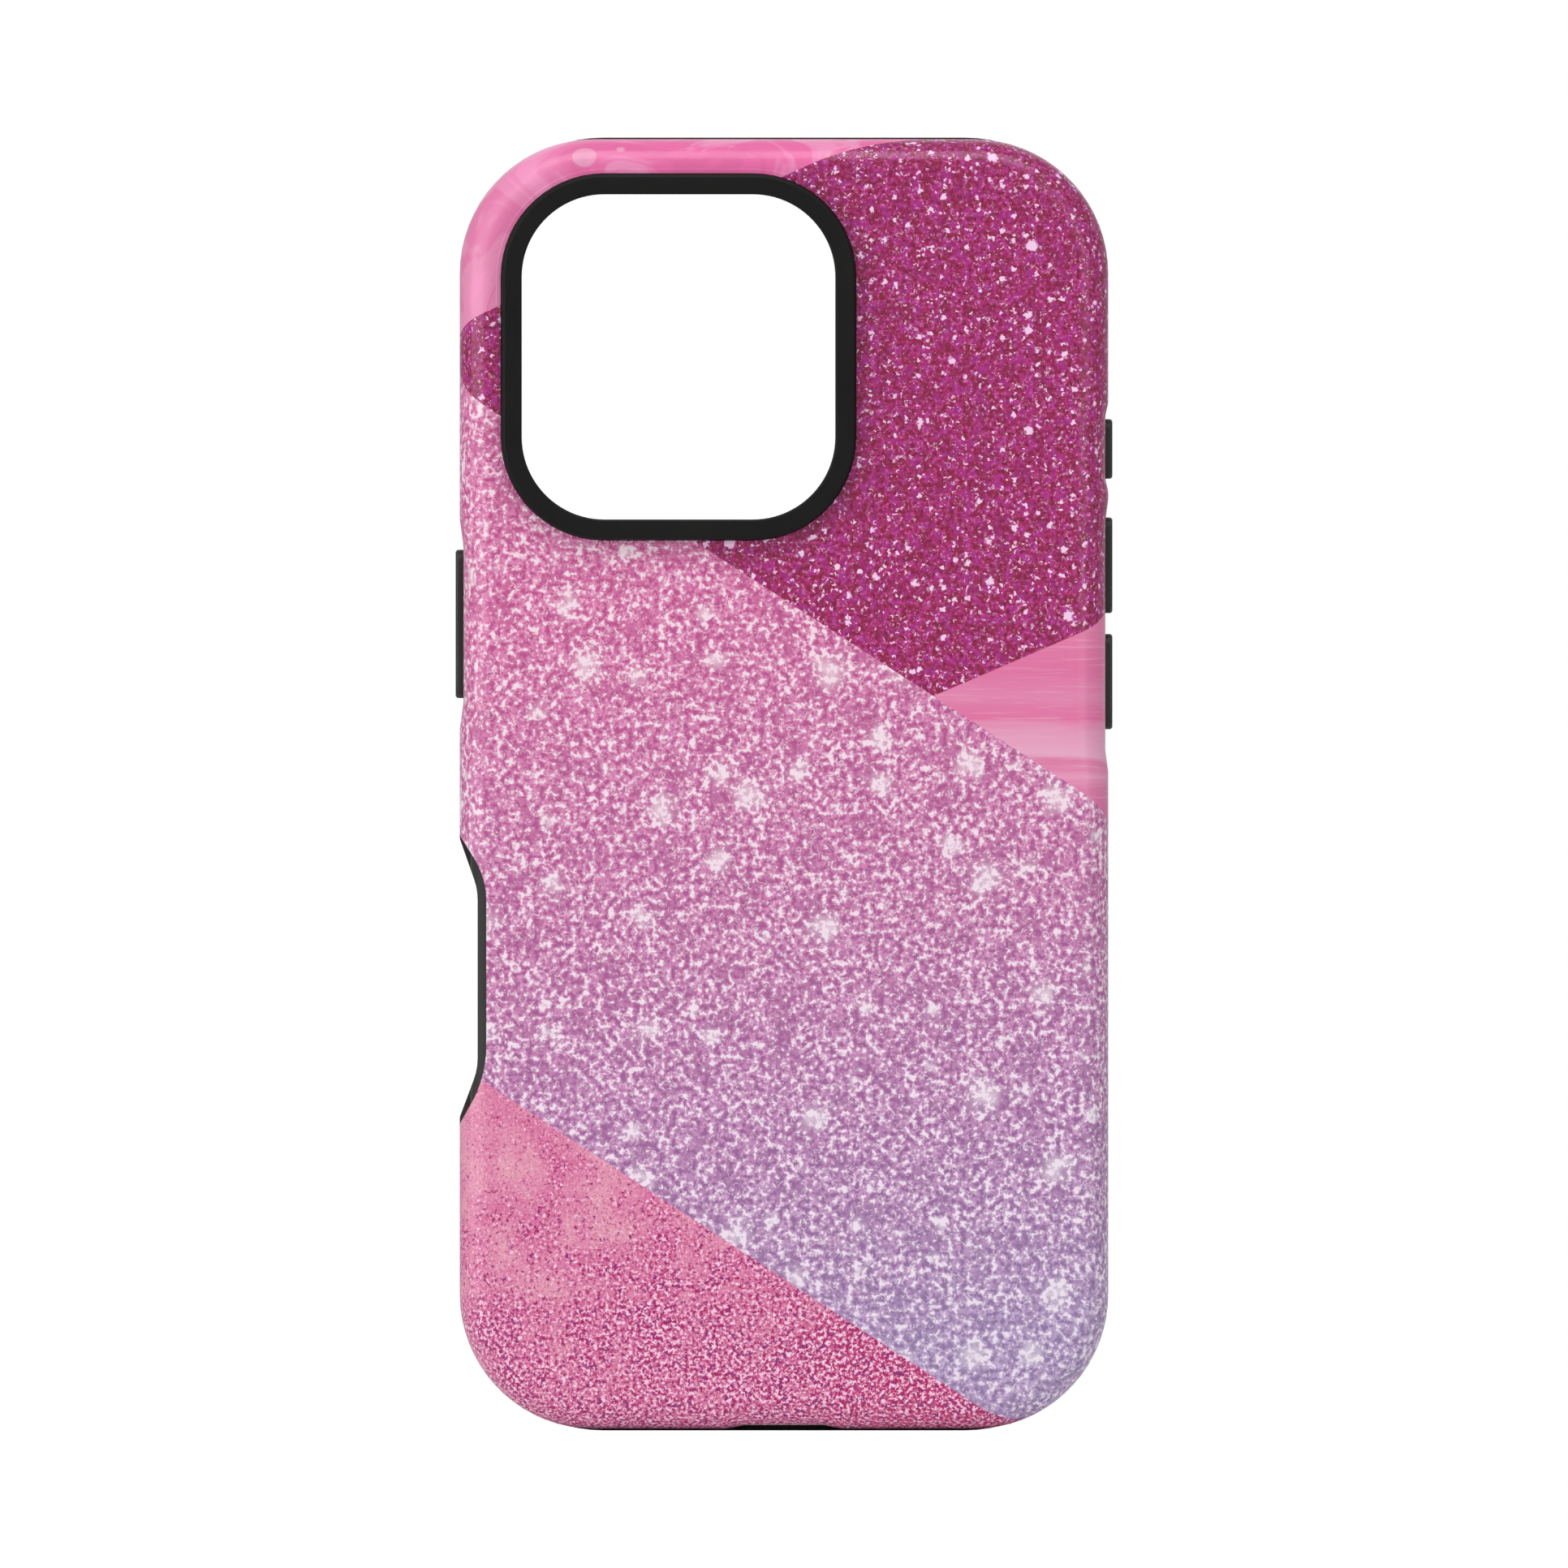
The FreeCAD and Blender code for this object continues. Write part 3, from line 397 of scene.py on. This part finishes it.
def printed_shell_material():
    """Glossy polycarbonate: the print wraps round its outside, and the inside stays bare."""
    material, graph, place = new_material("printed_shell")
    normal = graph.node("ShaderNodeTexCoord").outputs["Normal"]
    axes = graph.node("ShaderNodeSeparateXYZ", {0: place})
    facing = graph.node("ShaderNodeSeparateXYZ", {0: normal})
    # Below the flat back, the sheet runs on outwards by the depth, and so covers the walls.
    depth = graph.math("SUBTRACT", axes.outputs["Y"], PRINT_PLANE)
    x = graph.line(facing.outputs["X"], depth, axes.outputs["X"])
    z = graph.line(facing.outputs["Z"], depth, axes.outputs["Z"])
    sheet = graph.node("ShaderNodeCombineXYZ", {"X": x, "Y": z}).outputs[0]

    wedge = streaked_wedge(graph, sheet, z)
    magenta = magenta_glitter(graph, sheet)
    strip = washed_strip(graph, sheet, x)
    band = band_glitter(graph, sheet, x, z)
    coral = coral_glitter(graph, sheet, x, z)
    art = graph.mix(above(graph, x, z, WEDGE_EDGE), wedge, magenta)
    art = graph.mix(above(graph, x, z, STRIP_EDGE), art, strip)
    art = graph.mix(above(graph, x, z, BAND_TOP), band, art)
    art = graph.mix(above(graph, x, z, BAND_FOOT), coral, art)

    sideways = graph.vector("MULTIPLY", normal, (1.0, 0.0, 1.0))
    outward = graph.vector("DOT_PRODUCT", sideways, place)
    past_inner_face = graph.step(axes.outputs["Y"], SHELL_INNER_PLANE - INNER_PLANE_BLUR, SHELL_INNER_PLANE)
    inner_wall = graph.times(graph.step(outward, WALL_FACES_OUT, WALL_FACES_IN), past_inner_face)
    inner_face = graph.step(facing.outputs["Y"], FACE_TURNS_FRONT, FACE_IS_FRONT)
    colour = graph.mix(graph.most(inner_wall, inner_face), art, BARE_PLASTIC)

    orange_peel = graph.noise(place, scale=0.55)
    smear = graph.noise(place, scale=0.12, detail=4.0, roughness=0.6)
    roughness = graph.line(graph.step(smear, 0.0, 1.0, smooth=False), 0.12, 0.20)
    graph.surface(
        Base_Color=colour, Roughness=roughness, IOR=PLASTIC_IOR,
        Normal=graph.bump(orange_peel, distance=0.006),
        Coat_Weight=0.16, Coat_Roughness=0.14, Coat_IOR=PLASTIC_IOR,
    )
    return material


# ---------------------------------------------------------------- black parts and the magnet set


def moulded_material(name, dark, light, roughness, grain_height, grain_scale, specular=0.5, sheen=0.0):
    """Moulded rubber or plastic: spark-eroded grain, faint flow clouds and worn high spots."""
    material, graph, place = new_material(name)
    grain = graph.noise(place, scale=grain_scale, roughness=0.6)
    facet = graph.cells(place, scale=grain_scale * 0.6)[1]
    cloud = graph.noise(place, scale=0.09, detail=4.0, roughness=0.6)
    wear = graph.line(grain, 0.45, graph.times(cloud, 0.55))
    gloss = graph.line(cloud, 0.16, roughness - 0.08)
    gloss = graph.line(grain, 0.10, graph.math("SUBTRACT", gloss, 0.05))
    height = graph.line(facet, 0.35, grain)
    graph.surface(
        Base_Color=graph.ramp(wear, [(0.38, dark), (0.62, light)]),
        Roughness=gloss, IOR=PLASTIC_IOR, Specular_IOR_Level=specular,
        Normal=graph.bump(height, grain_height), Sheen_Weight=sheen, Sheen_Roughness=0.5,
    )
    return material


def magnet_material():
    """Nickel plate: bright, faintly yellow metal with tumbling marks."""
    material, graph, place = new_material("nickel_plate")
    marks = graph.noise(place, scale=5.0, detail=4.0, roughness=0.7)
    stain = graph.noise(place, scale=0.5, detail=3.0)
    graph.surface(
        Base_Color=graph.ramp(stain, [(0.35, (150, 147, 141)), (0.65, (190, 187, 180))]),
        Metallic=1.0, Roughness=graph.line(marks, 0.25, 0.18),
        Normal=graph.bump(marks, distance=0.003),
    )
    return material


def film_material(name, dark, light, roughness):
    """Thin matt film or tape: calendered grain and faint waviness."""
    material, graph, place = new_material(name)
    weave = graph.noise(place, scale=6.0, detail=3.0, roughness=0.6)
    wave = graph.noise(place, scale=0.25)
    height = graph.line(wave, 4.0, weave)
    graph.surface(
        Base_Color=graph.ramp(weave, [(0.35, dark), (0.65, light)]),
        Roughness=graph.line(weave, 0.12, roughness - 0.06), IOR=PLASTIC_IOR,
        Normal=graph.bump(height, distance=0.004),
    )
    return material


def give(material, *nodes):
    """Makes the material the only one of the nodes named."""
    for name in nodes:
        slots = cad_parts[name].data.materials
        slots.clear()
        slots.append(material)


BUTTONS = ["side_button", "action_button", "volume_up", "volume_down"]

liner_rubber = moulded_material(
    "liner_rubber", dark=(26, 26, 24), light=(44, 45, 41),
    roughness=0.55, grain_height=0.012, grain_scale=9.0, sheen=0.05,
)
bezel_satin = moulded_material(
    "bezel_satin", dark=(10, 11, 10), light=(19, 20, 18),
    roughness=0.42, grain_height=0.006, grain_scale=12.0, specular=0.20,
)
button_rubber = moulded_material(
    "button_rubber", dark=(28, 29, 27), light=(44, 45, 41),
    roughness=0.42, grain_height=0.006, grain_scale=10.0,
)
web_rubber = moulded_material(
    "web_rubber", dark=(20, 20, 19), light=(34, 34, 32),
    roughness=0.6, grain_height=0.008, grain_scale=8.0,
)
carrier_plastic = moulded_material(
    "carrier_plastic", dark=(58, 58, 60), light=(84, 84, 86),
    roughness=0.5, grain_height=0.008, grain_scale=6.0,
)
cover_film = film_material("cover_film", dark=(40, 40, 42), light=(62, 62, 64), roughness=0.5)
tape = film_material("tape", dark=(196, 186, 160), light=(222, 214, 190), roughness=0.7)

give(printed_shell_material(), "outer_shell")
give(liner_rubber, "inner_liner")
give(bezel_satin, "camera_bezel")
give(button_rubber, *[f"{name}_cap" for name in BUTTONS])
give(web_rubber, *[f"{name}_web" for name in BUTTONS])
give(carrier_plastic, "magnet_carrier")
give(magnet_material(), "ring_magnets", "alignment_magnet")
give(cover_film, "magnet_cover")
give(tape, "magnet_adhesive")


# ---------------------------------------------------------------- floor, world, lights and camera

CENTRE = (cad_low + cad_high) / 2

# The floor is clear at its rim and solid from FLOOR_SOLID inwards.
FLOOR_RADIUS = 0.228
FLOOR_SOLID = 0.09
FLOOR_SIDES = 96
FLOOR_TONES = [(0.3, (249, 249, 249)), (0.7, (252, 252, 252))]


def floor_material():
    """Matt and pale, and fading into the white studio towards the rim."""
    material = bpy.data.materials.new("studio_floor")
    graph = Graph(material)
    place = graph.node("ShaderNodeTexCoord").outputs["Object"]
    solid = graph.step(graph.vector("LENGTH", place), FLOOR_RADIUS, FLOOR_SOLID)
    tone = graph.ramp(graph.noise(place, scale=9.0), FLOOR_TONES)
    matt = graph.node("ShaderNodeBsdfDiffuse", {"Color": tone})
    clear = graph.node("ShaderNodeBsdfTransparent")
    shown = graph.node("ShaderNodeMixShader", {0: solid, 1: clear.outputs[0], 2: matt.outputs[0]})
    graph.node("ShaderNodeOutputMaterial", {"Surface": shown.outputs[0]})
    return material


def make_floor():
    """A round floor, with the case standing on the middle of it."""
    mesh = bpy.data.meshes.new("studio_floor")
    turns = [2 * math.pi * i / FLOOR_SIDES for i in range(FLOOR_SIDES)]
    rim = [(FLOOR_RADIUS * math.cos(t), FLOOR_RADIUS * math.sin(t), 0.0) for t in turns]
    mesh.from_pydata(rim, [], [list(range(FLOOR_SIDES))])
    mesh.materials.append(floor_material())
    floor = bpy.data.objects.new("studio_floor", mesh)
    floor.location = (CENTRE.x, CENTRE.y, cad_low.z)
    bpy.context.scene.collection.objects.link(floor)


STUDIO_WHITE = 1.0
STUDIO_GLOW = 0.475


def make_world():
    """White studio to the eye, and a dimmer surround for light and reflections."""
    world = bpy.data.worlds.new("studio")
    bpy.context.scene.world = world
    graph = Graph(world)
    seen = graph.node("ShaderNodeLightPath").outputs["Is Camera Ray"]
    strength = graph.step(seen, 0.0, 1.0, smooth=False)
    strength = graph.line(strength, STUDIO_WHITE - STUDIO_GLOW, STUDIO_GLOW)
    back = graph.node("ShaderNodeBackground", {"Color": (1.0, 1.0, 1.0, 1.0), "Strength": strength})
    graph.node("ShaderNodeOutputWorld", {"Surface": back.outputs[0]})


# Softboxes: azimuth (0 is the camera's side, 90 the right) and elevation in degrees, distance
# from the case, width and height in metres, and radiance.
SOFTBOXES = {
    "left_softbox": (-48, 12, 1.0, 0.95, 0.95, 1.28),
    "right_softbox": (28, 8, 1.0, 0.48, 0.85, 0.68),
    "top_softbox": (0, 58, 1.0, 0.9, 0.5, 2.2),
    "rear_softbox": (180, 35, 1.2, 1.2, 1.0, 0.32),
}


def make_light(name, azimuth, elevation, distance, width, height, radiance):
    """A softbox aimed at the case."""
    turn, rise = math.radians(azimuth), math.radians(elevation)
    way = Vector((math.sin(turn) * math.cos(rise), -math.cos(turn) * math.cos(rise), math.sin(rise)))
    data = bpy.data.lights.new(name, "AREA")
    data.shape = "RECTANGLE"
    data.size, data.size_y = width, height
    data.energy = radiance * math.pi * width * height
    light = bpy.data.objects.new(name, data)
    light.location = CENTRE + way * distance
    light.rotation_euler = (-way).to_track_quat("-Z", "Y").to_euler()
    bpy.context.scene.collection.objects.link(light)


# The picture's side, how far back the camera stands, and how near and far it sees.
FRAME_SIDE = 0.18908
CAMERA_DISTANCE = 1.0
CAMERA_NEAR, CAMERA_FAR = 0.05, 20


def make_camera():
    """Level with the middle of the case and square to its back, with parallel rays."""
    data = bpy.data.cameras.new("camera")
    data.type = "ORTHO"
    data.ortho_scale = FRAME_SIDE
    data.clip_start, data.clip_end = CAMERA_NEAR, CAMERA_FAR
    camera = bpy.data.objects.new("camera", data)
    camera.location = CENTRE + Vector((0, -CAMERA_DISTANCE, 0))
    camera.rotation_euler = (math.pi / 2, 0, 0)
    bpy.context.scene.collection.objects.link(camera)
    bpy.context.scene.camera = camera


make_floor()
make_world()
for softbox, setting in SOFTBOXES.items():
    make_light(softbox, *setting)
make_camera()

scene = bpy.context.scene
scene.view_settings.view_transform = "Standard"
scene.view_settings.look = "None"
scene.view_settings.exposure = 0
scene.view_settings.gamma = 1
